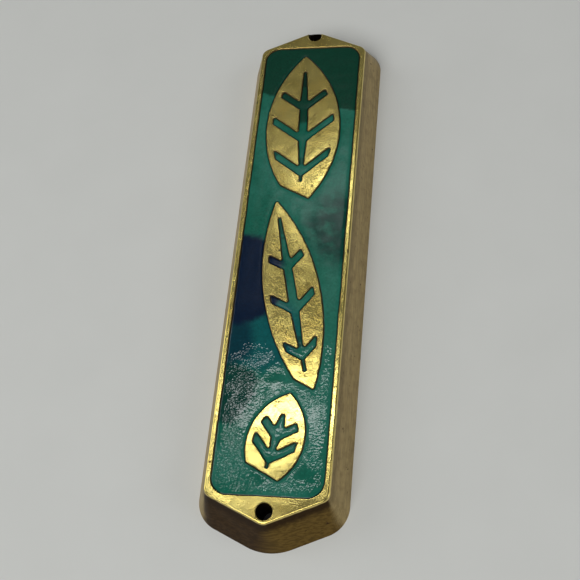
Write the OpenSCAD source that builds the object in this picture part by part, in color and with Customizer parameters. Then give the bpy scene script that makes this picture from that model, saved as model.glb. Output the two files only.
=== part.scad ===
// Mezuzah case: a cast brass body with raised leaves standing in an enamelled
// panel, a parchment scroll in the hollow behind it, and a sheet brass cover that
// slides along grooves in the back and out of the upper end.
// It lies on its back: +X right, +Y towards its top end, +Z out of its face.

/* [Body] */
// Length of the back, from tip to tip
length = 100; // [84:1:120]
// Width of the back
width = 24.3; // [22:0.1:30]
// Depth, from the back to the face
depth = 6.6; // [6.2:0.1:8]
// Slope of the four pointed end edges, in degrees
end_slope = 23.9; // [15:0.5:35]
// How far each long side leans in between the back and the face
side_draft = 2.3; // [1:0.1:3]
// How far each pointed end leans in between the back and the face
end_draft = 3.4; // [2:0.1:4]
// Corner radius of the back at its two tips
back_tip_r = 8.9; // [4:0.1:10]
// Corner radius of the back at its four shoulders
back_shoulder_r = 5; // [2:0.1:6]
// Corner radius of the face
face_corner_r = 1.6; // [1:0.1:2]
// Worn edge between the face and the sides
edge_wear = 0.3; // [0.1:0.05:0.4]

/* [Enamelled panel] */
// Brass rim between the panel and the long sides, at the face
rim_w = 0.9; // [0.6:0.1:1.5]
// Distance from the panel's upper end to the back's upper tip
panel_top_gap = 6.8; // [6:0.1:9]
// Distance from the panel's lower end to the back's lower tip
panel_bottom_gap = 7.2; // [6:0.1:9]
// Corner radius of the panel
panel_corner_r = 2.8; // [1:0.1:4]
// Depth of the panel below the face
panel_depth = 0.6; // [0.5:0.05:0.7]
// How far the enamel lies below the face
enamel_drop = 0.1; // [0.05:0.05:0.2]

/* [Leaves] */
// Enamel between the upper leaf and each side of the panel
upper_leaf_side = 2.2; // [1.5:0.1:4]
// Enamel between the middle leaf and each side of the panel, before it is turned
middle_leaf_side = 4.2; // [3.5:0.1:5.5]
// Enamel between the lower leaf and each side of the panel, before it is turned
lower_leaf_side = 4.4; // [3.5:0.1:6]
// Length of the lower leaf
lower_leaf_l = 16; // [12:0.5:18]
// Share of the panel's length above the lower leaf that the upper leaf takes
upper_leaf_share = 0.47; // [0.42:0.01:0.5]
// Enamel between the upper leaf and the panel's upper end
leaf_top_gap = 2; // [1:0.1:4]
// Enamel between the lower leaf and the panel's lower end
leaf_bottom_gap = 3.6; // [2:0.1:6]
// Enamel between the middle of a leaf's foot and the tip of the next leaf
leaf_gap = 1.2; // [1:0.1:3]
// Width of the enamelled veins
vein_w = 1.4; // [0.8:0.1:1.6]
// Brass left between a vein's end and the leaf's edge
vein_edge = 1; // [0.8:0.1:1.6]

/* [Nail holes] */
// Radius of both nail holes
nail_r = 1.3; // [1:0.05:1.5]
// Distance from the upper hole to the back's upper tip
upper_nail_gap = 3.9; // [3:0.1:6]
// Distance from the lower hole to the back's lower tip
lower_nail_gap = 4.95; // [4:0.05:6]

/* [Scroll and its hollow] */
// Diameter of the rolled parchment
scroll_d = 3.9; // [3:0.1:4]
// Radius of the opening down the middle of the roll
scroll_bore_r = 0.5; // [0.3:0.1:1]
// Clearance of the scroll above and below
scroll_gap = 0.15; // [0.1:0.05:0.3]
// Clearance between each end of the scroll and the hollow's end
scroll_end_gap = 2.5; // [1:0.5:5]
// Brass between the hollow and each side of the back
side_wall = 4.5; // [3.5:0.1:5]
// Brass between the hollow and each nail hole
nail_wall = 5; // [3:0.5:8]
// Corner radius of the hollow
hollow_corner_r = 1.5; // [0.5:0.1:3]

/* [Back cover] */
// Thickness of the brass sheet
cover_t = 0.5; // [0.4:0.05:0.6]
// Depth of the groove that each side of the cover slides in
groove_w = 1.2; // [0.8:0.1:1.6]
// Thickness of the lip behind each groove
lip_t = 0.4; // [0.3:0.05:0.5]
// Clearance around the cover's edge
cover_gap = 0.15; // [0.1:0.05:0.25]
// Clearance above and below the cover in its grooves
groove_gap = 0.05; // [0.05:0.01:0.1]
// How far the cover's pointed end stays inside the case's upper end
cover_inset = 1.2; // [1:0.1:3]
// Clearance around the nail in the cover's hole
nail_gap = 0.1; // [0.1:0.05:0.3]
// Width of the thumbnail slot
thumb_w = 7; // [5:0.5:9]
// Length of the thumbnail slot
thumb_l = 1; // [0.8:0.1:1.5]
// Depth of the thumbnail slot
thumb_depth = 0.2; // [0.1:0.05:0.25]

/* [Hidden] */
$fn = 96;
cut = 1;        // how far a cutter runs past the face that it opens
slice_t = 0.01; // thickness of the slices that the body is hulled from

// outline of the back and of the face: half width, and y of the sharp end corner
back_half_w = width / 2;
face_half_w = back_half_w - side_draft;
back_tip_y = length / 2 + back_tip_r * (1 / cos(end_slope) - 1);
face_tip_y = back_tip_y - end_draft / cos(end_slope);

panel_half_w = face_half_w - rim_w;
panel_top_y = length / 2 - panel_top_gap;
panel_bottom_y = -length / 2 + panel_bottom_gap;
panel_floor_z = depth - panel_depth;

upper_nail_y = length / 2 - upper_nail_gap;
lower_nail_y = -length / 2 + lower_nail_gap;

foot_cut = 2.6;   // from a leaf's lower point to the middle of its cut foot
foot_slant = 27;  // slant of the cut feet on the panel, down to the right
vein_slant = 40;  // rise of the side veins
first_vein = 0.65; // height of the lowest pair of side veins, in spacings of the veins

// how far each leaf is turned, and how far it lies to the right of the middle
upper_leaf_turn = 3;
middle_leaf_turn = 14;
lower_leaf_turn = -12;
upper_leaf_x = -0.4;
middle_leaf_x = 0.9;
lower_leaf_x = 0.6;

// the leaves share the panel's length: how far each one reaches, tip to foot
lower_reach = (lower_leaf_l - foot_cut) * cos(lower_leaf_turn);
leaves_reach = panel_top_y - panel_bottom_y - leaf_top_gap - leaf_bottom_gap - 2 * leaf_gap - lower_reach;
upper_reach = leaves_reach * upper_leaf_share;
middle_reach = leaves_reach - upper_reach;
upper_leaf_l = upper_reach / cos(upper_leaf_turn) + foot_cut;
middle_leaf_l = middle_reach / cos(middle_leaf_turn) + foot_cut;
upper_tip_y = panel_top_y - leaf_top_gap;
middle_tip_y = upper_tip_y - upper_reach - leaf_gap;
lower_tip_y = middle_tip_y - middle_reach - leaf_gap;
upper_leaf_y = upper_tip_y - upper_leaf_l / 2 * cos(upper_leaf_turn);
middle_leaf_y = middle_tip_y - middle_leaf_l / 2 * cos(middle_leaf_turn);
lower_leaf_y = lower_tip_y - lower_leaf_l / 2 * cos(lower_leaf_turn);
upper_leaf_w = 2 * (panel_half_w - upper_leaf_side);
middle_leaf_w = 2 * (panel_half_w - middle_leaf_side);
lower_leaf_w = 2 * (panel_half_w - lower_leaf_side);

// enamel colours: the upper end's sloping lower edge, and the pools at the left rim
dark_edge_y = panel_top_y - 8.2;
dark_edge_turn = -14;
dark_pool_y = panel_bottom_y + 16.8;
dark_pool_r = 5.5;
navy_pool_y = middle_leaf_y + 2;
navy_pool_r = 8.5;

groove_h = cover_t + 2 * groove_gap;
cover_z = lip_t + groove_gap;
cover_top_z = cover_z + cover_t;
scroll_z = cover_top_z + scroll_gap + scroll_d / 2;
hollow_top_z = scroll_z + scroll_d / 2 + scroll_gap;
hollow_y = (upper_nail_y + lower_nail_y) / 2;
hollow_w = width - 2 * side_wall;
hollow_l = upper_nail_y - lower_nail_y - 2 * (nail_r + nail_wall);
scroll_l = hollow_l - 2 * scroll_end_gap;
cover_half_w = hollow_w / 2 + groove_w;
cover_bottom_y = hollow_y - hollow_l / 2 - groove_w;
cover_tip_y = length / 2 - cover_inset;
cover_shoulder_y = cover_tip_y - cover_half_w * tan(end_slope);
thumb_y = (hollow_y + hollow_l / 2 + upper_nail_y - nail_r) / 2;

// A long hexagon with a point at each end, its corners rounded
module pointed_outline(half_w, tip_y, shoulder_r, tip_r) {
    shoulder_y = tip_y - half_w * tan(end_slope);
    // a rounded corner's centre lies back along the line that halves the corner
    half_shoulder = (90 + end_slope) / 2;
    hull()
        for (end = [-1, 1]) {
            translate([0, end * (tip_y - tip_r / cos(end_slope))]) circle(tip_r);
            for (side = [-1, 1])
                translate([side * (half_w - shoulder_r),
                           end * (shoulder_y - shoulder_r * tan(90 - half_shoulder))])
                    circle(shoulder_r);
        }
}

// A rectangle with round corners, about the middle
module rounded_rect(w, l, r) {
    square([w - 2 * r, l], center = true);
    square([w, l - 2 * r], center = true);
    for (x = [-1, 1], y = [-1, 1])
        translate([x * (w / 2 - r), y * (l / 2 - r)]) circle(r);
}

// The panel's outline
module panel_outline() {
    translate([0, (panel_top_y + panel_bottom_y) / 2])
        rounded_rect(2 * panel_half_w, panel_top_y - panel_bottom_y, panel_corner_r);
}

// The shape between two equal arcs that meet in a point at each end
module lens(w, l) {
    r = (l * l / 4 + w * w / 4) / w;
    intersection() {
        translate([r - w / 2, 0]) circle(r, $fn = 360);
        translate([w / 2 - r, 0]) circle(r, $fn = 360);
    }
}

// A leaf with a middle vein and slanted side veins, its foot cut off at the same
// slant on the panel whichever way the leaf is turned
module leaf(x, y, turn, w, l, vein_count) {
    vein_pitch = (l - 2 * foot_cut) / (vein_count + 1);
    translate([x, y]) rotate(turn)
        difference() {
            lens(w, l);
            translate([0, foot_cut - l / 2]) rotate(-foot_slant - turn)
                translate([-w, -l / 2]) square([2 * w, l / 2]);
            // middle vein
            translate([0, foot_cut / 2]) lens(vein_w * 1.2, l - 3 * foot_cut);
            // side veins, kept clear of the leaf's edge
            intersection() {
                lens(w - 2 * vein_edge, l - 4 * vein_edge);
                for (i = [0 : vein_count - 1], side = [-1, 1])
                    translate([0, foot_cut - l / 2 + (i + first_vein) * vein_pitch])
                        rotate(side * vein_slant)
                            translate([side > 0 ? 0 : -w, -vein_w / 2]) square([w, vein_w]);
            }
        }
}

module leaves() {
    leaf(upper_leaf_x, upper_leaf_y, upper_leaf_turn, upper_leaf_w, upper_leaf_l, 3);
    leaf(middle_leaf_x, middle_leaf_y, middle_leaf_turn, middle_leaf_w, middle_leaf_l, 3);
    leaf(lower_leaf_x, lower_leaf_y, lower_leaf_turn, lower_leaf_w, lower_leaf_l, 2);
}

module case_body() {
    color("darkgoldenrod") {
        difference() {
            hull() {
                linear_extrude(slice_t)
                    pointed_outline(back_half_w, back_tip_y, back_shoulder_r, back_tip_r);
                translate([0, 0, depth - edge_wear])
                    linear_extrude(slice_t)
                        pointed_outline(face_half_w, face_tip_y, face_corner_r, face_corner_r);
                translate([0, 0, depth - slice_t])
                    linear_extrude(slice_t)
                        pointed_outline(face_half_w - edge_wear, face_tip_y - edge_wear,
                                        face_corner_r, face_corner_r);
            }
            // nail holes
            for (y = [upper_nail_y, lower_nail_y])
                translate([0, y, -cut]) cylinder(h = depth + 2 * cut, r = nail_r);
            // panel, around the leaves
            translate([0, 0, panel_floor_z])
                linear_extrude(panel_depth + cut)
                    difference() {
                        panel_outline();
                        leaves();
                    }
            // hollow for the scroll
            translate([0, hollow_y, -cut])
                linear_extrude(cut + hollow_top_z) rounded_rect(hollow_w, hollow_l, hollow_corner_r);
            // grooves for the cover's edges, and the way between them out of the upper end
            translate([-cover_half_w - cover_gap, cover_bottom_y - cover_gap, lip_t])
                cube([2 * (cover_half_w + cover_gap), length, groove_h]);
            translate([-hollow_w / 2, hollow_y, -cut])
                cube([hollow_w, length, cut + lip_t + groove_h]);
        }
    }
}

// Where the dark green lies: the upper end, between the upper leaf's veins, and
// a pool at the lower left
module dark_green_zone() {
    translate([-2 * panel_half_w, dark_edge_y]) rotate(dark_edge_turn)
        square([4 * panel_half_w, length / 2]);
    translate([upper_leaf_x, dark_edge_y - upper_leaf_w / 4]) circle(upper_leaf_w / 2 - vein_edge);
    translate([-panel_half_w, dark_pool_y]) circle(dark_pool_r);
}

// Where the navy lies: a pool at the left of the middle leaf
module navy_zone() {
    translate([-panel_half_w, navy_pool_y]) circle(navy_pool_r);
}

module enamel() {
    translate([0, 0, panel_floor_z])
        linear_extrude(panel_depth - enamel_drop)
            difference() {
                intersection() {
                    panel_outline();
                    children(0);
                }
                leaves();
            }
}

module enamel_green() {
    color("seagreen") enamel()
        difference() {
            panel_outline();
            dark_green_zone();
            navy_zone();
        }
}

module enamel_dark_green() {
    color("darkgreen") enamel() dark_green_zone();
}

module enamel_navy() {
    color("navy") enamel() navy_zone();
}

module back_cover() {
    color("goldenrod")
        difference() {
            translate([0, 0, cover_z])
                linear_extrude(cover_t)
                    polygon([[-cover_half_w, cover_bottom_y], [cover_half_w, cover_bottom_y],
                             [cover_half_w, cover_shoulder_y], [0, cover_tip_y],
                             [-cover_half_w, cover_shoulder_y]]);
            translate([0, upper_nail_y, 0]) cylinder(h = depth, r = nail_r + nail_gap);
            translate([-thumb_w / 2, thumb_y - thumb_l / 2, cover_z - cut])
                cube([thumb_w, thumb_l, cut + thumb_depth]);
        }
}

module parchment_scroll() {
    color("wheat")
        translate([0, hollow_y, scroll_z]) rotate([90, 0, 0])
            difference() {
                cylinder(h = scroll_l, d = scroll_d, center = true);
                cylinder(h = scroll_l + 2 * cut, r = scroll_bore_r, center = true);
            }
}

case_body();
enamel_green();
enamel_dark_green();
enamel_navy();
back_cover();
parchment_scroll();
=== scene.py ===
"""Mezuzah case: a cast brass case with raised leaves and poured enamel, its back cover
and the rolled parchment inside it. Lengths are in millimetres until a mesh is made."""

import math

import bmesh
import bpy
import numpy as np
from mathutils import Matrix, Vector, geometry, kdtree, noise


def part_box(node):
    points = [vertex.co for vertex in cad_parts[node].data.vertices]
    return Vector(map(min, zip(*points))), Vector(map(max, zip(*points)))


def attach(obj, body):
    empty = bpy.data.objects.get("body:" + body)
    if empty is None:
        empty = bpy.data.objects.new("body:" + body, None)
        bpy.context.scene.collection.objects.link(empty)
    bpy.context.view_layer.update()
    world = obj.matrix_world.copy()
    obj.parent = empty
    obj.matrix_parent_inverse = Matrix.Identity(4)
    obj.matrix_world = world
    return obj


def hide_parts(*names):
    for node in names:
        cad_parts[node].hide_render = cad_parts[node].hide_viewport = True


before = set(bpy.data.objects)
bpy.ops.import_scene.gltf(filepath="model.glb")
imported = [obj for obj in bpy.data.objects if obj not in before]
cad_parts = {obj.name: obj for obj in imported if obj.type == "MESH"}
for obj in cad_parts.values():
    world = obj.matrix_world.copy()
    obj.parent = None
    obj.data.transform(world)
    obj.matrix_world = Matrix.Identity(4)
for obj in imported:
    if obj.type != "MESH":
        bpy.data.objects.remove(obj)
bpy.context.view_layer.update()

MM = 0.001

# ---------------------------------------------------------------- sizes
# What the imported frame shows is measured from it. The rest repeats part.scad.

case_low, case_high = (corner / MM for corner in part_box("case_body"))
cover_low, cover_high = (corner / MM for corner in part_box("back_cover"))
scroll_low, scroll_high = (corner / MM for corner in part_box("parchment_scroll"))
enamel_low, enamel_high = (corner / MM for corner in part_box("enamel_green"))

# body
LENGTH = -2 * case_low.y  # the upper end is cut back by the way out of the grooves
WIDTH = case_high.x - case_low.x
DEPTH = case_high.z
END_SLOPE = math.radians(23.9)
SIDE_DRAFT = 2.3
END_DRAFT = 3.4
BACK_TIP_R = 8.9
BACK_SHOULDER_R = 5.0
FACE_CORNER_R = 1.6
EDGE_WEAR = 0.3

BACK_HALF_W = WIDTH / 2
FACE_HALF_W = BACK_HALF_W - SIDE_DRAFT
BACK_TIP_Y = LENGTH / 2 + BACK_TIP_R * (1 / math.cos(END_SLOPE) - 1)
FACE_TIP_Y = BACK_TIP_Y - END_DRAFT / math.cos(END_SLOPE)

# enamelled panel
RIM_W = 0.9
PANEL_HALF_W = FACE_HALF_W - RIM_W
PANEL_TOP_Y = LENGTH / 2 - 6.8
PANEL_BOTTOM_Y = -LENGTH / 2 + 7.2
PANEL_CORNER_R = 2.8
PANEL_FLOOR_Z = enamel_low.z
ENAMEL_Z = enamel_high.z

# nail holes
NAIL_R = 1.3
NAIL_YS = (LENGTH / 2 - 3.9, -LENGTH / 2 + 4.95)

# hollow, scroll, grooves and cover
SIDE_WALL = 4.5
NAIL_WALL = 5
HOLLOW_Y = (NAIL_YS[0] + NAIL_YS[1]) / 2
HOLLOW_HALF_W = BACK_HALF_W - SIDE_WALL
HOLLOW_HALF_L = (NAIL_YS[0] - NAIL_YS[1]) / 2 - NAIL_R - NAIL_WALL
HOLLOW_CORNER_R = 1.5
SCROLL_BORE_R = 0.5
SCROLL_GAP = 0.15
HOLLOW_TOP_Z = scroll_high.z + SCROLL_GAP
LIP_T = 0.4
COVER_GAP = 0.15
GROOVE_GAP = 0.05
NAIL_GAP = 0.1
THUMB_W, THUMB_L, THUMB_DEPTH = 7, 1, 0.2

# leaves: (x, turn in degrees, enamel left at each side, number of vein pairs)
UPPER_LEAF = (-0.4, 3, 2.2, 3)
MIDDLE_LEAF = (0.9, 14, 4.2, 3)
LOWER_LEAF = (0.6, -12, 4.4, 2)
LOWER_LEAF_L = 16
UPPER_LEAF_SHARE = 0.47
LEAF_TOP_GAP = 2.0
LEAF_BOTTOM_GAP = 3.6
LEAF_GAP = 1.2
FOOT_CUT = 2.6
FOOT_SLANT = 27
VEIN_W = 1.4
VEIN_EDGE = 1.0
VEIN_SLANT = math.radians(40)
FIRST_VEIN = 0.65
CORNER_R = 0.28  # rounding of the corners cut by hand

# where the enamel colours meet
DARK_EDGE_Y = PANEL_TOP_Y - 8.2
DARK_EDGE_TURN = -14
DARK_POOL_Y = PANEL_BOTTOM_Y + 16.8
DARK_POOL_R = 5.5
NAVY_POOL_R = 8.5

# small shapes that only the visual model has
BEVEL = 0.12  # rolled edge of the panel and the leaves
HOLE_FLARE = 0.14  # worn edge of the nail holes
SHEET_EDGE = 0.1  # rolled edge of the cover
SHEET_CORNER_R = 0.35  # its corners
THUMB_CORNER_R = 0.45  # the corners of its thumbnail slot
FACE_DIP = 0.02  # how far the face's edges lie below the face
ENAMEL_GAP = 0.02  # between the enamel and the brass round it
ENAMEL_EDGE = [(0.0, 0.18), (0.05, 0.11), (0.14, 0.06)]  # (inset, drop) up its rounded edge


# ---------------------------------------------------------------- outlines

ARC_SEGMENTS = 16
SMOOTH_TURN = 0.3  # a corner that turns less is part of a curve, and isn't rounded
LONG_EDGE = 260  # parts that a long side of the case is in
SLANT_EDGE = 28  # parts that a slanting side of its ends is in


def rounded(corners, radius, stretches=1):
    """A closed outline through the corners, rounded to radius, with each straight
    stretch between them in `stretches` parts. Both take one number, or one each."""
    corners = np.array(corners, float)
    count = len(corners)
    radii, stretches = np.broadcast_to(radius, count), np.broadcast_to(stretches, count)
    before, after = np.roll(corners, 1, 0), np.roll(corners, -1, 0)
    arcs = []
    for here, back, ahead, r in zip(corners, before, after, radii):
        u, v = back - here, ahead - here
        lengths = np.hypot(*u), np.hypot(*v)
        u, v = u / lengths[0], v / lengths[1]
        half = math.acos(np.clip(u @ v, -1, 1)) / 2
        if math.pi - 2 * half < SMOOTH_TURN:
            arcs.append([here])
            continue
        reach = min(r / math.tan(half), 0.47 * min(lengths))
        r = reach * math.tan(half)
        centre = here + (u + v) / np.hypot(*(u + v)) * r / math.sin(half)
        start, end = here + u * reach, here + v * reach
        a = math.atan2(*(start - centre)[::-1])
        turn = (math.atan2(*(end - centre)[::-1]) - a + math.pi) % (2 * math.pi) - math.pi
        angles = a + turn * np.linspace(0, 1, ARC_SEGMENTS + 1)
        arcs.append(centre + r * np.c_[np.cos(angles), np.sin(angles)])
    outline = []
    for arc, ahead, parts in zip(arcs, arcs[1:] + arcs[:1], stretches):
        stretch = arc[-1] + (ahead[0] - arc[-1]) * np.linspace(0, 1, parts + 1)[1:-1, None]
        outline += [arc, stretch]
    return np.concatenate(outline)


def spaced(outline, spacing):
    """The same closed outline with its points evenly spaced."""
    loop = np.r_[outline, outline[:1]]
    reached = np.r_[0, np.cumsum(np.hypot(*np.diff(loop, axis=0).T))]
    at = np.linspace(0, reached[-1], round(reached[-1] / spacing), endpoint=False)
    return np.c_[np.interp(at, reached, loop[:, 0]), np.interp(at, reached, loop[:, 1])]


def pointed_outline(half_w, tip_y, shoulder_r, tip_r):
    """The case's long hexagon. Every one has the same number of points, in step."""
    shoulder_y = tip_y - half_w * math.tan(END_SLOPE)
    corners = [(half_w, -shoulder_y), (half_w, shoulder_y), (0, tip_y),
               (-half_w, shoulder_y), (-half_w, -shoulder_y), (0, -tip_y)]
    radii = [shoulder_r, shoulder_r, tip_r] * 2
    return rounded(corners, radii, [LONG_EDGE, SLANT_EDGE, SLANT_EDGE] * 2)


def rectangle(half_w, low_y, high_y):
    return np.array([(half_w, low_y), (half_w, high_y), (-half_w, high_y), (-half_w, low_y)])


def circle(x, y, r, segments=96):
    angles = np.linspace(0, 2 * math.pi, segments, endpoint=False)
    return np.c_[x + r * np.cos(angles), y + r * np.sin(angles)]


def normals(outline):
    """Unit normals of a closed anticlockwise outline, pointing out of it."""
    along = np.roll(outline, -1, 0) - np.roll(outline, 1, 0)
    along /= np.hypot(*along.T)[:, None]
    return np.c_[along[:, 1], -along[:, 0]]


def inset(outline, distance):
    """The outline, moved inwards."""
    return outline - normals(outline) * distance


def hand_cut(outline, amount=0.05, size=1.2, seed=0.0):
    """The outline as a hand would cut it: off true by up to about `amount`."""
    off = [noise.noise(Vector((x / size, y / size, seed))) for x, y in outline]
    fine = [noise.noise(Vector((x / size * 4, y / size * 4, seed + 7))) for x, y in outline]
    return inset(outline, amount * (np.array(off) + 0.35 * np.array(fine))[:, None])


def lens_half_width(w, length, y):
    """Half the width, at y, of a lens: two arcs that meet at y = +-length / 2."""
    r = (length * length + w * w) / (4 * w)
    return math.sqrt(max(r * r - y * y, 0)) - r + w / 2


def meet(half_width, y, slope):
    """Where a line up from (0, y) meets the curve x = half_width(y)."""
    x = 0.0
    for _ in range(30):
        x = half_width(y + slope * x)
    return x, y + slope * x


def clip(outline, point, direction):
    """The part of a closed outline to the left of a line."""
    side = (outline - point) @ np.array([-direction[1], direction[0]])
    kept = []
    pairs = zip(outline, np.roll(outline, -1, 0), side, np.roll(side, -1))
    for here, ahead, here_side, ahead_side in pairs:
        if here_side >= 0:
            kept.append(here)
        if here_side * ahead_side < 0:
            kept.append(here + (ahead - here) * here_side / (here_side - ahead_side))
    return np.array(kept)


def blade_outline(w, length, turn):
    """A leaf's edge: a lens with its foot cut off at a slant."""
    ys = np.linspace(-length / 2, length / 2, 28)
    xs = np.array([lens_half_width(w, length, y) for y in ys])
    blade = np.r_[np.c_[xs, ys], np.c_[-xs, ys][-2:0:-1]]
    slant = math.radians(-FOOT_SLANT - turn)
    return clip(blade, np.array([0, FOOT_CUT - length / 2]), (math.cos(slant), math.sin(slant)))


def vein_outline(w, length, pairs):
    """The middle vein and the side veins, as one opening in the leaf."""
    middle_l = length - 3 * FOOT_CUT
    middle_y = FOOT_CUT / 2
    pitch = (length - 2 * FOOT_CUT) / (pairs + 1)
    slope = math.tan(VEIN_SLANT)
    rise = VEIN_W / 2 / math.cos(VEIN_SLANT)

    def middle(y):
        return max(lens_half_width(1.2 * VEIN_W, middle_l, y - middle_y), CORNER_R)

    def edge(y):
        return lens_half_width(w - 2 * VEIN_EDGE, length - 4 * VEIN_EDGE, y)

    lowest_vein_y = FOOT_CUT - length / 2 + FIRST_VEIN * pitch
    bottom_y = min(middle_y - middle_l / 2, lowest_vein_y - rise - VEIN_W / 2)
    right = [(CORNER_R, bottom_y)]
    for i in range(pairs):
        low, high = lowest_vein_y + i * pitch - rise, lowest_vein_y + i * pitch + rise
        right += [meet(middle, low, slope), meet(edge, low, slope),
                  meet(edge, high, slope), meet(middle, high, slope)]
    right.append((CORNER_R, middle_y + middle_l / 2 - 1))
    return np.array(right + [(-x, y) for x, y in reversed(right)])


def leaf_outlines():
    """The (edge, veins) of the three leaves, laid out from the panel's upper end."""
    lower_reach = (LOWER_LEAF_L - FOOT_CUT) * math.cos(math.radians(LOWER_LEAF[1]))
    reach = (PANEL_TOP_Y - PANEL_BOTTOM_Y - LEAF_TOP_GAP - LEAF_BOTTOM_GAP - 2 * LEAF_GAP
             - lower_reach)
    reaches = (reach * UPPER_LEAF_SHARE, reach * (1 - UPPER_LEAF_SHARE), lower_reach)
    tip_y = PANEL_TOP_Y - LEAF_TOP_GAP
    found = []
    for (x, turn, side, pairs), reach in zip((UPPER_LEAF, MIDDLE_LEAF, LOWER_LEAF), reaches):
        across, upright = math.sin(math.radians(turn)), math.cos(math.radians(turn))
        w, length = 2 * (PANEL_HALF_W - side), reach / upright + FOOT_CUT
        rotation = np.array([[upright, across], [-across, upright]])
        centre = (x, tip_y - length / 2 * upright)
        pair = []
        for corners in (blade_outline(w, length, turn), vein_outline(w, length, pairs)):
            smooth = rounded(corners @ rotation + centre, CORNER_R)
            pair.append(hand_cut(spaced(smooth, 0.14), seed=x * 10))
        found.append(pair)
        tip_y -= reach + LEAF_GAP
    return found


LEAVES = leaf_outlines()
middle_leaf_ys = LEAVES[1][0][:, 1]
NAVY_POOL_Y = (middle_leaf_ys.min() + middle_leaf_ys.max()) / 2 + 2
PANEL = rounded(rectangle(PANEL_HALF_W, PANEL_BOTTOM_Y, PANEL_TOP_Y), PANEL_CORNER_R)
PANEL = hand_cut(spaced(PANEL, 0.25), amount=0.09, size=5, seed=3)


# ---------------------------------------------------------------- solids

def inside(points, outlines):
    """Which points are inside the outlines, an outline in another being a hole."""
    result = np.zeros(len(points), bool)
    x, y = points.T
    for outline in outlines:
        for (x0, y0), (x1, y1) in zip(outline, np.roll(outline, -1, 0)):
            if y0 != y1:
                crossed = (y0 > y) != (y1 > y)
                result ^= crossed & (x < (x1 - x0) * (y - y0) / (y1 - y0) + x0)
    return result


def edge_finder(outlines):
    """A function that gives a point's distance to the nearest outline point."""
    points = np.concatenate(outlines)
    tree = kdtree.KDTree(len(points))
    for i, (x, y) in enumerate(points):
        tree.insert((x, y, 0), i)
    tree.balance()
    return lambda x, y: tree.find((x, y, 0))[2]


def grid_inside(outlines, spacing):
    """(x, y, distance to the nearest outline) for points `spacing` apart, in staggered
    rows, that lie inside the outlines and aren't close to one."""
    distance = edge_finder(outlines)
    low, high = np.concatenate(outlines).min(0), np.concatenate(outlines).max(0)
    rows = np.arange(low[1], high[1], spacing * 0.87)
    grid = np.array([(x + (k % 2) * spacing / 2, y) for k, y in enumerate(rows)
                     for x in np.arange(low[0], high[0], spacing)])
    found = [(x, y, distance(x, y)) for x, y in grid[inside(grid, outlines)]]
    return [(x, y, off) for x, y, off in found if off > spacing * 0.7]


class Solid:
    """A closed solid built from rings of points, walls between rings and caps on them."""

    def __init__(self):
        self.mesh = bmesh.new()

    def ring(self, outline, z):
        return [self.mesh.verts.new((x, y, z)) for x, y in outline]

    def wall(self, *rings):
        for a, b in zip(rings, rings[1:]):
            for i in range(len(a)):
                j = (i + 1) % len(a)
                self.mesh.faces.new((a[i], a[j], b[j], b[i]))

    def cap(self, rings, height=None, spacing=None):
        """Fills between rings with triangles. With a spacing, there are points in
        between, each at height(x, y, distance to the nearest ring)."""
        outlines = [np.array([v.co.to_2d() for v in ring]) for ring in rings]
        verts = [v for ring in rings for v in ring]
        edges, start = [], 0
        for ring in rings:
            edges += [(start + i, start + (i + 1) % len(ring)) for i in range(len(ring))]
            start += len(ring)
        if spacing:
            for x, y, off in grid_inside(outlines, spacing):
                verts.append(self.mesh.verts.new((x, y, height(x, y, off))))
        flat = [v.co.to_2d() for v in verts]
        found = geometry.delaunay_2d_cdt(flat, edges, [], 0, 1e-6, True)
        origin = [ids[0] for ids in found[3]]
        triangles = np.array(found[2])
        middles = np.array(flat)[np.array(origin)][triangles].mean(1)
        for triangle in triangles[inside(middles, outlines)]:
            self.mesh.faces.new([verts[origin[i]] for i in triangle])

    def made(self, name):
        """The solid as an object, in metres."""
        bmesh.ops.recalc_face_normals(self.mesh, faces=self.mesh.faces)
        data = bpy.data.meshes.new(name)
        self.mesh.to_mesh(data)
        self.mesh.free()
        data.transform(Matrix.Scale(MM, 4))
        return placed(name, data)


def placed(name, data):
    thing = bpy.data.objects.new(name, data)
    bpy.context.scene.collection.objects.link(thing)
    return thing


def dress(piece, *materials, sharp=35):
    """Gives a piece its materials, and smooth shading except where it turns sharply."""
    for material in materials:
        piece.data.materials.append(material)
    piece.data.shade_smooth()
    piece.data.set_sharp_from_angle(angle=math.radians(sharp))


def prism(outline, low_z, high_z):
    solid = Solid()
    rings = solid.ring(outline, low_z), solid.ring(outline, high_z)
    solid.wall(*rings)
    for ring in rings:
        solid.cap([ring])
    return solid


def lathe(profile, centre, segments=64):
    """A solid of revolution about +Z at centre, from (radius, z) pairs."""
    solid = Solid()
    rings = [solid.ring(circle(*centre, r, segments), z) for r, z in profile]
    solid.wall(*rings)
    solid.cap([rings[0]])
    solid.cap([rings[-1]])
    return solid


def combine(piece, operation, other):
    """Changes a piece's solid by another object's: UNION, DIFFERENCE or INTERSECT."""
    step = piece.modifiers.new("step", "BOOLEAN")
    step.operation, step.solver, step.object = operation, "EXACT", other
    evaluated = piece.evaluated_get(bpy.context.evaluated_depsgraph_get())
    data = bpy.data.meshes.new_from_object(evaluated)
    piece.modifiers.clear()
    piece.data = data


def combine_all(piece, operation, solids):
    """Changes a piece's solid by each of the solids in turn."""
    for solid in solids:
        other = solid.made("tool")
        combine(piece, operation, other)
        bpy.data.objects.remove(other)


def rolled_edge(inset_by, low_z, high_z, steps=4):
    """(inset, z) along a quarter round from an upright wall, and a step on to the top."""
    turns = np.linspace(0, math.pi / 2, steps)
    curve = [(inset_by * (1 - math.cos(turn)), low_z + (high_z - low_z) * math.sin(turn))
             for turn in turns]
    return curve + [(inset_by + 0.04, high_z)]


# ---------------------------------------------------------------- materials

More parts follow.
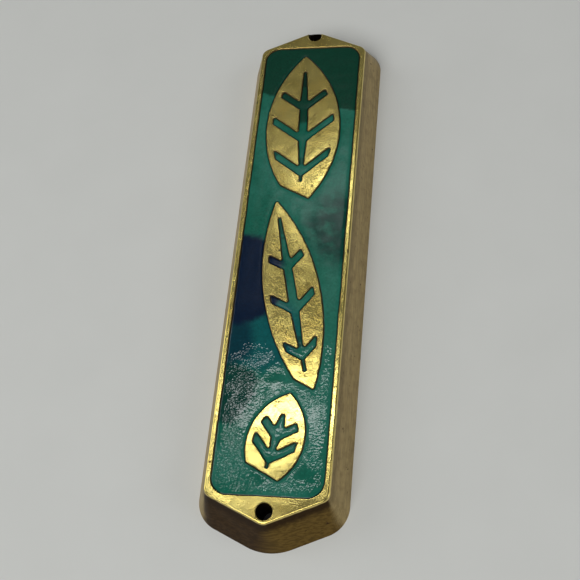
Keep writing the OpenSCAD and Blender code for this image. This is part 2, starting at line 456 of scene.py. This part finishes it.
class Shader:
    """A material's nodes, written as expressions: each call adds a node and returns its
    output. Lengths are in millimetres."""

    def __init__(self, name):
        self.material = bpy.data.materials.new(name)
        self.material.use_nodes = True
        self.tree = self.material.node_tree
        self.surface = self.tree.nodes["Principled BSDF"]
        here = self.tree.nodes.new("ShaderNodeTexCoord").outputs["Object"]
        self.here = self.vector("SCALE", here, scale=1 / MM)
        self.x, self.y, self.z = self.split(self.here)

    def feed(self, socket, value):
        if isinstance(value, bpy.types.NodeSocket):
            self.tree.links.new(value, socket)
        else:
            socket.default_value = value

    def split(self, vector):
        """The x, y and z of a vector."""
        node = self.tree.nodes.new("ShaderNodeSeparateXYZ")
        self.feed(node.inputs[0], vector)
        return tuple(node.outputs)

    def facing(self):
        """The way that the surface faces."""
        return self.tree.nodes.new("ShaderNodeNewGeometry").outputs["True Normal"]

    def vector(self, operation, a, b=None, scale=None):
        node = self.tree.nodes.new("ShaderNodeVectorMath")
        node.operation = operation
        self.feed(node.inputs[0], a)
        if b is not None:
            self.feed(node.inputs[1], b)
        if scale is not None:
            self.feed(node.inputs["Scale"], scale)
        return node.outputs[1] if operation in ("LENGTH", "DISTANCE") else node.outputs[0]

    def math(self, operation, a, b=0.0, c=0.0):
        node = self.tree.nodes.new("ShaderNodeMath")
        node.operation = operation
        for socket, value in zip(node.inputs, (a, b, c)):
            self.feed(socket, value)
        return node.outputs[0]

    def noise(self, size, detail=2.0, roughness=0.5, at=None, stretch=None, output="Fac"):
        """Noise with features about `size` across, longer along the stretched axes."""
        node = self.tree.nodes.new("ShaderNodeTexNoise")
        where = at or self.here
        if stretch:
            where = self.vector("DIVIDE", where, stretch)
        self.feed(node.inputs["Vector"], where)
        node.inputs["Scale"].default_value = 1 / size
        node.inputs["Detail"].default_value = detail
        node.inputs["Roughness"].default_value = roughness
        return node.outputs[output]

    def wandering(self, size, reach):
        """The position, shifted by noise by up to about reach / 2 each way."""
        shift = self.vector("SUBTRACT", self.noise(size, detail=3, output="Color"), (0.5, 0.5, 0.5))
        return self.vector("ADD", self.here, self.vector("SCALE", shift, scale=reach))

    def turned(self, degrees):
        """The position, turned about Z."""
        node = self.tree.nodes.new("ShaderNodeMapping")
        node.inputs["Rotation"].default_value = (0, 0, math.radians(degrees))
        self.feed(node.inputs["Vector"], self.here)
        return node.outputs[0]

    def cells(self, size):
        """The distance to the nearest of many points about `size` apart, over `size`."""
        node = self.tree.nodes.new("ShaderNodeTexVoronoi")
        self.feed(node.inputs["Vector"], self.here)
        node.inputs["Scale"].default_value = 1 / size
        return node.outputs["Distance"]

    def ramp(self, value, low, high, to_low=0.0, to_high=1.0):
        """value, eased from to_low at low to to_high at high."""
        node = self.tree.nodes.new("ShaderNodeMapRange")
        node.interpolation_type = "SMOOTHSTEP"
        for socket, number in zip(node.inputs, (value, low, high, to_low, to_high)):
            self.feed(socket, number)
        return node.outputs[0]

    def mix(self, share, a, b):
        """Colour a where share is 0, and colour b where it is 1."""
        node = self.tree.nodes.new("ShaderNodeMix")
        node.data_type = "RGBA"
        share_in, *_, a_in, b_in = [i for i in node.inputs if i.enabled]
        self.feed(share_in, share)
        self.feed(a_in, a if isinstance(a, bpy.types.NodeSocket) else (*a, 1))
        self.feed(b_in, b if isinstance(b, bpy.types.NodeSocket) else (*b, 1))
        return next(o for o in node.outputs if o.enabled)

    def shaded(self, color, *ramp):
        """The colour, times what ramp() gives."""
        return self.vector("SCALE", color, scale=self.ramp(*ramp))

    def attribute(self, name):
        node = self.tree.nodes.new("ShaderNodeAttribute")
        node.attribute_name = name
        return node.outputs["Fac"]

    def pool(self, x, y, radius, at, soft=0.5):
        """1 inside a round pool of colour, 0 outside."""
        flat = self.vector("MULTIPLY", at, (1, 1, 0))
        return self.ramp(self.vector("DISTANCE", flat, (x, y, 0)), radius + soft, radius - soft)

    def bump(self, height, depth, onto=None):
        """A normal for a relief that is `depth` deep where height goes from 0 to 1."""
        node = self.tree.nodes.new("ShaderNodeBump")
        node.inputs["Distance"].default_value = depth * MM
        self.feed(node.inputs["Height"], height)
        if onto is not None:
            self.feed(node.inputs["Normal"], onto)
        return node.outputs[0]

    def finish(self, **sockets):
        """Feeds the surface's sockets and returns the material."""
        for name, value in sockets.items():
            self.feed(self.surface.inputs[name.replace("_", " ")], value)
        return self.material


GOLD, OLD_GOLD = (0.86, 0.71, 0.22), (0.74, 0.57, 0.15)
SEAM_SHADE, PIT, NICK = (0.20, 0.12, 0.035), (0.12, 0.07, 0.03), (0.06, 0.035, 0.015)


def polished_brass():
    """The face: rubbed bright, with tarnish, pits, nicks and fine scratches, and a painted shade
    line where it meets the enamel.
    """
    s = Shader("polished brass")
    tarnish = s.ramp(s.noise(7, detail=5, roughness=0.65), 0.42, 0.72)
    pits = s.math("MULTIPLY", s.ramp(s.cells(1.5), 0.15, 0.09),
                  s.ramp(s.noise(3.0, detail=1), 0.50, 0.56))
    outer_edge = s.ramp(s.math("ABSOLUTE", s.x), FACE_HALF_W - 0.45, FACE_HALF_W - 0.25)
    nicks = s.math("MULTIPLY", s.ramp(s.cells(4.5), 0.10, 0.07), outer_edge)
    color = s.mix(tarnish, GOLD, OLD_GOLD)
    # painted shade: the face darkens within about 0.16 mm of the enamel, as if shaded in the seam
    color = s.mix(s.ramp(s.attribute("edge"), 0.02, 0.16), SEAM_SHADE, color)
    color = s.mix(pits, color, PIT)
    color = s.mix(nicks, color, NICK)
    normal = s.bump(s.noise(1.6, detail=2), 0.009)
    normal = s.bump(s.noise(0.30, detail=2, roughness=0.6), 0.006, normal)
    for degrees in (35, -40, 80):
        lines = s.noise(0.10, detail=0, at=s.turned(degrees), stretch=(1, 20, 1))
        normal = s.bump(s.ramp(lines, 0.66, 0.74), -0.004, normal)
    normal = s.bump(pits, -0.02, normal)
    rough = s.ramp(s.noise(2.5, detail=5, roughness=0.7), 0.3, 0.75, 0.12, 0.22)
    return s.finish(Base_Color=color, Metallic=1.0, Roughness=rough, Normal=normal)


SIDE_TAN, SIDE_STAIN = (0.46, 0.35, 0.165), (0.28, 0.20, 0.09)
END_BROWN, END_SHADE = (0.185, 0.115, 0.030), (0.065, 0.036, 0.014)
UNDER_RIM_SHADE, RUBBED, SPOT = (0.035, 0.018, 0.008), (0.87, 0.69, 0.25), (0.07, 0.04, 0.02)


def side_color(s):
    """Tan, stained, and streaked along the side."""
    stain = s.ramp(s.noise(1.4, detail=6, roughness=0.7), 0.42, 0.70, 0, 0.55)
    color = s.mix(stain, SIDE_TAN, SIDE_STAIN)
    return s.shaded(color, s.noise(0.35, detail=3, stretch=(1, 9, 1)), 0.3, 0.7, 0.84, 1.12)


def end_color(s, facing_x):
    """Brown, with painted shade making the walls that face left darker, and streaked across the
    end.
    """
    # painted shade: walls facing left take the darker copy of the end's brown
    color = s.mix(s.ramp(facing_x, 0.30, -0.30), END_BROWN, END_SHADE)
    return s.shaded(color, s.noise(0.3, detail=3, stretch=(9, 1, 1)), 0.35, 0.65, 0.75, 1.2)


def ground_brass():
    """The walls: ground in fine lines, gone tan on the sides, with painted shade darkening the
    lower end and a band under the rim.
    """
    s = Shader("ground brass")
    facing_x, facing_y, _ = s.split(s.facing())
    # painted shade: walls facing the lower end take the dark brown end colour, the rest stay tan
    lower = s.math("MULTIPLY_ADD", s.noise(4, detail=4), 0.35, s.math("MULTIPLY", facing_y, -1))
    end = s.ramp(lower, 0.62, 0.86)
    color = s.mix(end, side_color(s), end_color(s, facing_x))
    # painted shade: a dark band just under the rim, darker on the lower end
    ragged_z = s.math("MULTIPLY_ADD", s.noise(0.9, detail=3), 1.2, s.z)
    under_rim_shade = s.math("MULTIPLY", s.ramp(ragged_z, DEPTH - 1.9, DEPTH - 0.5),
                       s.ramp(end, 0, 1, 0.3, 0.9))
    color = s.mix(under_rim_shade, color, UNDER_RIM_SHADE)
    uneven_z = s.math("MULTIPLY_ADD", s.noise(1.2, detail=3), 0.3, s.z)
    rubbed = s.ramp(uneven_z, DEPTH - 0.36, DEPTH - 0.12)
    color = s.mix(rubbed, color, RUBBED)
    color = s.mix(s.ramp(s.noise(0.8, detail=3), 0.68, 0.74), color, SPOT)
    lines = s.mix(end, s.noise(0.11, detail=3, stretch=(1, 14, 0.9)),
                  s.noise(0.11, detail=3, stretch=(14, 1, 0.9)))
    normal = s.bump(s.noise(1.3, detail=2), 0.025)
    normal = s.bump(lines, 0.012, normal)
    rough = s.ramp(rubbed, 0, 1, 0.50, 0.25)
    return s.finish(Base_Color=color, Metallic=1.0, Roughness=rough, Normal=normal)


def cast_brass():
    """The back and the hollow: the rough skin of the casting, with painted shade near black in the
    nail holes.
    """
    s = Shader("cast brass")
    stain = s.ramp(s.noise(4, detail=5, roughness=0.65), 0.35, 0.7)
    color = s.mix(stain, (0.55, 0.41, 0.19), (0.27, 0.18, 0.08))
    # painted shade: near black round each nail hole, where the hole is in shadow
    for y in NAIL_YS:
        color = s.mix(s.pool(0, y, NAIL_R + 0.3, s.here, soft=0.2), color, (0.03, 0.02, 0.01))
    normal = s.bump(s.noise(0.5, detail=4, roughness=0.6), 0.06)
    rough = s.ramp(stain, 0, 1, 0.45, 0.65)
    return s.finish(Base_Color=color, Metallic=1.0, Roughness=rough, Normal=normal)


def sheet_brass():
    """The back cover: rolled sheet, brushed along its length."""
    s = Shader("sheet brass")
    stain = s.ramp(s.noise(7, detail=4, roughness=0.6), 0.45, 0.75)
    color = s.mix(stain, (0.82, 0.64, 0.27), (0.55, 0.39, 0.16))
    normal = s.bump(s.noise(5, detail=1), 0.03)
    normal = s.bump(s.noise(0.09, detail=2, stretch=(1, 30, 1)), 0.004, normal)
    rough = s.ramp(stain, 0, 1, 0.3, 0.45)
    return s.finish(Base_Color=color, Metallic=1.0, Roughness=rough, Normal=normal)


MID_GREEN, PALE_GREEN = (0.005, 0.108, 0.068), (0.018, 0.145, 0.100)
DARK_GREEN, DEEP_GREEN = (0.0002, 0.040, 0.021), (0.0002, 0.042, 0.030)
NAVY, BLUE, TEAL = (0.0001, 0.0085, 0.030), (0.0005, 0.034, 0.048), (0.003, 0.090, 0.090)


def lower_enamel_color(s, at):
    """Greens, with murk right of the middle leaf, and navy and a deep pool at the left."""
    color = s.mix(s.ramp(s.noise(9, detail=3), 0.4, 0.62), MID_GREEN, PALE_GREEN)
    murk = s.math("MULTIPLY", s.pool(PANEL_HALF_W, 4, 7, at, soft=2.5),
                  s.ramp(s.noise(2.2, detail=4), 0.28, 0.58))
    color = s.mix(murk, color, DEEP_GREEN)
    color = s.mix(s.pool(-3.5, NAVY_POOL_Y - 10, 6.5, at, soft=1.5), color, TEAL)
    color = s.mix(s.pool(-PANEL_HALF_W, DARK_POOL_Y, DARK_POOL_R, at, soft=0.8), color, DEEP_GREEN)
    color = s.mix(s.pool(-PANEL_HALF_W, NAVY_POOL_Y - 11, 4.2, at, soft=1.2), color, BLUE)
    return s.mix(s.pool(-PANEL_HALF_W, NAVY_POOL_Y, NAVY_POOL_R, at, soft=0.7), color, NAVY)


def enamel_color(s):
    """All the colours, grainy, and darkened by painted shade where the enamel meets brass."""
    at = s.wandering(3.5, 3.2)
    x, y, _ = s.split(at)
    slope = -math.tan(math.radians(DARK_EDGE_TURN))
    level = s.math("MULTIPLY_ADD", x, slope, y)
    edge_level = DARK_EDGE_Y - 2 * PANEL_HALF_W * slope
    upper = s.ramp(level, edge_level - 0.4, edge_level + 0.4)
    color = s.mix(upper, lower_enamel_color(s, at), DARK_GREEN)
    color = s.mix(s.pool(UPPER_LEAF[0], DARK_EDGE_Y - 3.4, 5.7, at), color, DARK_GREEN)
    color = s.shaded(color, s.noise(0.35, detail=3, roughness=0.7), 0.25, 0.75, 0.80, 1.18)
    # painted shade: the enamel darkens towards the brass edges, as if shaded in the seam
    return s.shaded(color, s.attribute("edge"), 0.05, 0.30, 0.15, 1.0)


def enamel():
    """Glassy enamel in greens and navy that ran together as they were poured. It is
    pebbled in patches towards the lower end."""
    s = Shader("enamel")
    relief = s.math("MULTIPLY", s.ramp(s.y, -12, -22, 0.05, 1.0),
                    s.ramp(s.noise(4.5, detail=2), 0.35, 0.65, 0.25, 1.0))
    normal = s.bump(s.noise(2.2, detail=2), 0.012)
    normal = s.bump(s.math("MULTIPLY", s.noise(0.9, detail=1), relief), 0.030, normal)
    normal = s.bump(s.math("MULTIPLY", s.cells(0.34), relief), 0.021, normal)
    rough = s.ramp(s.y, -8, -18, 0.18, 0.045)
    return s.finish(Base_Color=enamel_color(s), Roughness=rough, Normal=normal, IOR=1.41)


def parchment():
    """Scraped skin: cream, cloudy, with faint hair pores."""
    s = Shader("parchment")
    cloud = s.ramp(s.noise(5, detail=5, roughness=0.6), 0.35, 0.7)
    color = s.mix(cloud, (0.72, 0.60, 0.40), (0.58, 0.45, 0.27))
    color = s.mix(s.ramp(s.cells(0.5), 0.09, 0.04), color, (0.42, 0.31, 0.18))
    normal = s.bump(s.noise(0.6, detail=4, roughness=0.6), 0.04)
    return s.finish(Base_Color=color, Roughness=0.62, Normal=normal)


# ---------------------------------------------------------------- pieces

def unevenness(x, y, size, amount, seed):
    """Smooth noise of up to about +-amount, with features about `size` across."""
    return amount * noise.noise(Vector((x / size, y / size, seed)))


def mark_edges(piece):
    """Stores how far, in mm, each vertex is from where brass and enamel meet."""
    distance = edge_finder([PANEL] + [outline for leaf in LEAVES for outline in leaf])
    edge = piece.data.attributes.new("edge", "FLOAT", "POINT")
    for vertex, value in zip(piece.data.vertices, edge.data):
        value.value = distance(vertex.co.x / MM, vertex.co.y / MM)


def brass_height(x, y, off):
    """The polished face: not quite flat, and rubbed down a little near its edges."""
    worn = 0.012 * math.exp(-off / 0.25)
    return DEPTH - 0.015 - worn + unevenness(x, y, 2.5, 0.010, 1)


def case_sides(solid):
    """The case's back and its leaning sides, a little dented. Returns the last ring,
    which the face starts from."""
    side_z = DEPTH - EDGE_WEAR
    back = np.array((BACK_HALF_W, BACK_TIP_Y, BACK_SHOULDER_R, BACK_TIP_R))
    face = np.array((FACE_HALF_W, FACE_TIP_Y, FACE_CORNER_R, FACE_CORNER_R))
    rings = []
    for share in np.linspace(0, 1, 14):
        outline = pointed_outline(*(back * (1 - share) + face * share))
        fade = 4 * min(share, 1 - share)
        dents = np.array([abs(unevenness(x, y, 4, 0.05, share * 2)) * fade for x, y in outline])
        rings.append(solid.ring(inset(outline, dents[:, None]), side_z * share))
    for off, z in rolled_edge(EDGE_WEAR, side_z, DEPTH - FACE_DIP, steps=5)[1:]:
        outline = pointed_outline(FACE_HALF_W - off, FACE_TIP_Y - off, FACE_CORNER_R, FACE_CORNER_R)
        rings.append(solid.ring(outline, z))
    solid.wall(*rings)
    solid.cap([rings[0]])
    return rings[-1]


def brass_edge(solid, outline, inwards):
    """A wall from the panel's floor up to the face, rolled over the brass: inside the
    outline where inwards is 1, outside it where it is -1. Returns its end rings."""
    rings = [solid.ring(outline, PANEL_FLOOR_Z)]
    rings += [solid.ring(inset(outline, inwards * off), z)
              for off, z in rolled_edge(BEVEL, DEPTH - BEVEL, DEPTH - FACE_DIP)]
    solid.wall(*rings)
    return rings[0], rings[-1]


def case_shell():
    """The casting with nothing cut from its back."""
    solid = Solid()
    face_ring = case_sides(solid)
    panel_floor, panel_top = brass_edge(solid, PANEL, -1)
    solid.cap([face_ring, panel_top], brass_height, 0.45)
    floors = [panel_floor]
    for edge, veins in LEAVES:
        edge_floor, edge_top = brass_edge(solid, edge, 1)
        floors.append(edge_floor)
        veins_floor, veins_top = brass_edge(solid, veins, -1)
        solid.cap([veins_floor])
        solid.cap([edge_top, veins_top], brass_height, 0.35)
    solid.cap(floors)
    return solid


def back_cutters():
    """All that is cut from the casting: nail holes, hollow, grooves and the way out."""
    flare_r, out = NAIL_R + HOLE_FLARE, 1
    nail_hole = [(NAIL_R + out, -out), (flare_r, 0), (NAIL_R, HOLE_FLARE),
                 (NAIL_R, DEPTH - HOLE_FLARE), (flare_r, DEPTH), (NAIL_R + out, DEPTH + out)]
    hollow = rectangle(HOLLOW_HALF_W, HOLLOW_Y - HOLLOW_HALF_L, HOLLOW_Y + HOLLOW_HALF_L)
    grooves = rectangle(cover_high.x + COVER_GAP, cover_low.y - COVER_GAP, LENGTH)
    grooves_z = cover_high.z + GROOVE_GAP
    way_out = rectangle(HOLLOW_HALF_W, HOLLOW_Y, LENGTH)
    way_out_z = grooves_z - 0.001  # a hair below the grooves, so that no faces coincide
    return [*(lathe(nail_hole, (0, y)) for y in NAIL_YS),
            prism(rounded(hollow, HOLLOW_CORNER_R), -out, HOLLOW_TOP_Z),
            prism(grooves, LIP_T, grooves_z),
            prism(way_out, -out, way_out_z)]


def finish_of(face):
    """Which of the case's finishes a face has: 0 polished, 1 ground or 2 cast."""
    x, y, z = face.center / MM
    if face.normal.z > 0.5 and z > DEPTH - 0.5:
        return 0
    on_side = abs(x) > FACE_HALF_W - 0.4
    on_end = abs(y) + abs(x) * math.tan(END_SLOPE) > FACE_TIP_Y - 0.6
    return 1 if (on_side or on_end) and face.normal.z > 0 else 2


def case_body():
    piece = case_shell().made("brass_case")
    combine_all(piece, "DIFFERENCE", back_cutters())
    dress(piece, polished_brass(), ground_brass(), cast_brass())
    for face in piece.data.polygons:
        face.material_index = finish_of(face)
    mark_edges(piece)
    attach(piece, "case")
    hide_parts("case_body")


def enamel_height(x, y, off):
    """The enamel's top: uneven, and drawn down a little near its edges."""
    return ENAMEL_Z - 0.03 - 0.03 * math.exp(-off / 0.3) + unevenness(x, y, 1.8, 0.02, 5)


def enamel_fill():
    """All the enamel, round the leaves and in their veins, with its edges rounded."""
    solid = Solid()
    round_leaves = [(PANEL, 1)] + [(edge, -1) for edge, _ in LEAVES]
    for pool in [round_leaves] + [[(veins, 1)] for _, veins in LEAVES]:
        bottoms, tops = [], []
        for outline, inwards in pool:
            rings = [solid.ring(inset(outline, inwards * ENAMEL_GAP), PANEL_FLOOR_Z)]
            rings += [solid.ring(inset(outline, inwards * (ENAMEL_GAP + off)), ENAMEL_Z - drop)
                      for off, drop in ENAMEL_EDGE]
            solid.wall(*rings)
            bottoms.append(rings[0])
            tops.append(rings[-1])
        solid.cap(bottoms)
        solid.cap(tops, enamel_height, 0.4)
    return solid


def upper_end():
    """The part of the plane above the line where the dark green starts."""
    turn = math.radians(DARK_EDGE_TURN)
    along = np.array((math.cos(turn), math.sin(turn))) * 4 * PANEL_HALF_W
    up = np.array((-math.sin(turn), math.cos(turn))) * LENGTH / 2
    start = np.array((-2 * PANEL_HALF_W, DARK_EDGE_Y))
    return np.array([start, start + along, start + along + up, start + up])


def enamel_zones():
    """Where the dark green and the navy lie, as two objects."""
    def zone(outline):
        return prism(outline, 0, DEPTH + 1)

    leaf_w = 2 * (PANEL_HALF_W - UPPER_LEAF[2])
    between_veins = circle(UPPER_LEAF[0], DARK_EDGE_Y - leaf_w / 4, leaf_w / 2 - VEIN_EDGE)
    dark = zone(upper_end()).made("dark zone")
    combine_all(dark, "UNION", [zone(between_veins),
                                zone(circle(-PANEL_HALF_W, DARK_POOL_Y, DARK_POOL_R))])
    navy = zone(circle(-PANEL_HALF_W, NAVY_POOL_Y, NAVY_POOL_R)).made("navy zone")
    return dark, navy


def enamel_pieces():
    """A piece for each colour of enamel, all in one material: the colours ran together."""
    whole = enamel_fill().made("enamel")
    dark, navy = enamel_zones()
    material = enamel()
    for color, steps in (("green", [("DIFFERENCE", dark), ("DIFFERENCE", navy)]),
                         ("dark_green", [("INTERSECT", dark)]),
                         ("navy", [("INTERSECT", navy)])):
        piece = placed(color + "_enamel_fill", whole.data.copy())
        for operation, zone in steps:
            combine(piece, operation, zone)
        dress(piece, material, sharp=60)
        mark_edges(piece)
        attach(piece, "case")
        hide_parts("enamel_" + color)
    for used in (whole, dark, navy):
        bpy.data.objects.remove(used)


def cover_sheet():
    """The cover's pointed sheet, with rolled edges."""
    half_w, tip_y = cover_high.x, cover_high.y
    shoulder_y = tip_y - half_w * math.tan(END_SLOPE)
    outline = rounded([(half_w, cover_low.y), (half_w, shoulder_y), (0, tip_y),
                       (-half_w, shoulder_y), (-half_w, cover_low.y)], SHEET_CORNER_R, 24)
    upper_edge = rolled_edge(SHEET_EDGE, cover_high.z - SHEET_EDGE, cover_high.z)
    lower_edge = [(off, cover_low.z + cover_high.z - z) for off, z in upper_edge[::-1]]
    solid = Solid()
    rings = [solid.ring(inset(outline, off), z) for off, z in lower_edge + upper_edge]
    solid.wall(*rings)
    solid.cap([rings[0]])
    solid.cap([rings[-1]])
    return solid


def back_cover():
    """The sheet, with a nail hole and a slot for a thumbnail."""
    piece = cover_sheet().made("sliding_back_cover")
    hole_r = NAIL_R + NAIL_GAP
    thumb_y = (HOLLOW_Y + HOLLOW_HALF_L + NAIL_YS[0] - NAIL_R) / 2
    thumb = rectangle(THUMB_W / 2, thumb_y - THUMB_L / 2, thumb_y + THUMB_L / 2)
    combine_all(piece, "DIFFERENCE", [
        lathe([(hole_r, -1), (hole_r, DEPTH)], (0, NAIL_YS[0])),
        prism(rounded(thumb, THUMB_CORNER_R), -1, cover_low.z + THUMB_DEPTH),
    ])
    dress(piece, sheet_brass())
    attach(piece, "cover")
    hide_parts("back_cover")


def roll_profile(inner_r, outer_r, thickness=0.16, turns=4.6, per_turn=44):
    """A spiral strip's (x, z) outline: its outer side out, and its inner side back."""
    angles = np.linspace(0, turns * 2 * math.pi, round(turns * per_turn))
    radii = inner_r + (outer_r - inner_r) * (angles / angles[-1]) ** 0.9
    facing = np.c_[np.cos(angles), np.sin(angles)]
    return np.r_[facing * radii[:, None], (facing * (radii - thickness)[:, None])[::-1]]


def parchment_scroll():
    """A sheet of parchment, rolled up, its turns not quite as tight all along."""
    outer_r = (scroll_high.x - scroll_low.x) / 2
    centre_z = (scroll_high.z + scroll_low.z) / 2
    profile = roll_profile(SCROLL_BORE_R, outer_r - 0.02)
    solid = Solid()
    rings = []
    for y in np.linspace(scroll_low.y, scroll_high.y, 40):
        tightness = 1 - 0.015 * abs(noise.noise(Vector((0, y / 9, 2))))
        rings.append([solid.mesh.verts.new((x * tightness, y, centre_z + z * tightness))
                      for x, z in profile])
    solid.wall(*rings)
    for ring in (rings[0], rings[-1]):
        for i in range(len(profile) // 2 - 1):
            solid.mesh.faces.new((ring[i], ring[i + 1], ring[-i - 2], ring[-i - 1]))
    piece = solid.made("rolled_parchment")
    dress(piece, parchment())
    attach(piece, "scroll")
    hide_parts("parchment_scroll")


# ---------------------------------------------------------------- camera, floor and light

CAMERA = Vector((31.7, -77.3, 148.6))
CAMERA_AIM = Vector((-0.3, -6.4, 3.3))
CAMERA_ROLL = math.radians(-21)
LENS = 60


def camera():
    data = bpy.data.cameras.new("camera")
    data.lens = LENS
    data.clip_start, data.clip_end = 0.01, 10
    view = placed("camera", data)
    aim = (CAMERA_AIM - CAMERA).to_track_quat("-Z", "Y").to_matrix().to_4x4()
    view.matrix_world = Matrix.Translation(CAMERA * MM) @ aim @ Matrix.Rotation(CAMERA_ROLL, 4, "Z")
    bpy.context.scene.camera = view


def floor():
    size = 1500
    plane = Solid()
    plane.mesh.faces.new(plane.ring(rectangle(size, -size, size), 0))
    ground = plane.made("floor")
    s = Shader("pale floor")
    cloth = s.mix(s.noise(12, detail=4), (0.62, 0.63, 0.60), (0.66, 0.67, 0.64))
    dress(ground, s.finish(Base_Color=cloth, Roughness=0.85))


def seen_in_face(x, y, height):
    """Where something `height` above the face has to be for the camera to see its
    reflection at (x, y) on the face."""
    on_face = Vector((x, y, DEPTH))
    away = on_face - CAMERA
    away.z = -away.z
    return on_face + away * (height / away.z)


def softbox(name, middle, size, strength, aim=(0, 0, 0)):
    """A soft rectangular lamp at middle that faces aim."""
    data = bpy.data.lights.new(name, "AREA")
    data.shape = "RECTANGLE"
    data.size, data.size_y = (side * MM for side in size)
    data.energy = strength * data.size * data.size_y * math.pi
    lamp = placed(name, data)
    lamp.location = Vector(middle) * MM
    lamp.rotation_mode = "QUATERNION"
    lamp.rotation_quaternion = (Vector(aim) - Vector(middle)).to_track_quat("-Z", "Y")


def window_in_face(name, low, high, strength, height=600):
    """A lamp whose reflection covers the face from low to high, each (x, y)."""
    near, far = seen_in_face(*low, height), seen_in_face(*high, height)
    size = far.x - near.x, far.y - near.y
    middle = (near + far) / 2
    softbox(name, middle, size, strength, aim=(middle.x, middle.y, 0))


def light():
    """A dim sky, three soft boxes, and the room's windows as the face mirrors them."""
    world = bpy.data.worlds.new("studio")
    world.use_nodes = True
    sky = world.node_tree.nodes["Background"]
    sky.inputs["Color"].default_value = (0.97, 0.98, 1.0, 1)
    sky.inputs["Strength"].default_value = 0.14
    bpy.context.scene.world = world
    window_in_face("upper window", (0, 5), (17, 14), 4.0)
    window_in_face("lower window", (-8, -32), (16, -26), 9.5)
    window_in_face("corner window", (-14, -44), (-4, -38), 4.5)
    softbox("front box", (-180, -560, 720), (700, 500), 4.8)
    softbox("left box", (-750, 150, 500), (500, 500), 1.8)
    softbox("right box", (750, -50, 520), (500, 400), 1.8)


case_body()
enamel_pieces()
back_cover()
parchment_scroll()
camera()
floor()
light()
bpy.context.scene.view_settings.view_transform = "Standard"  # keeps the brass yellow
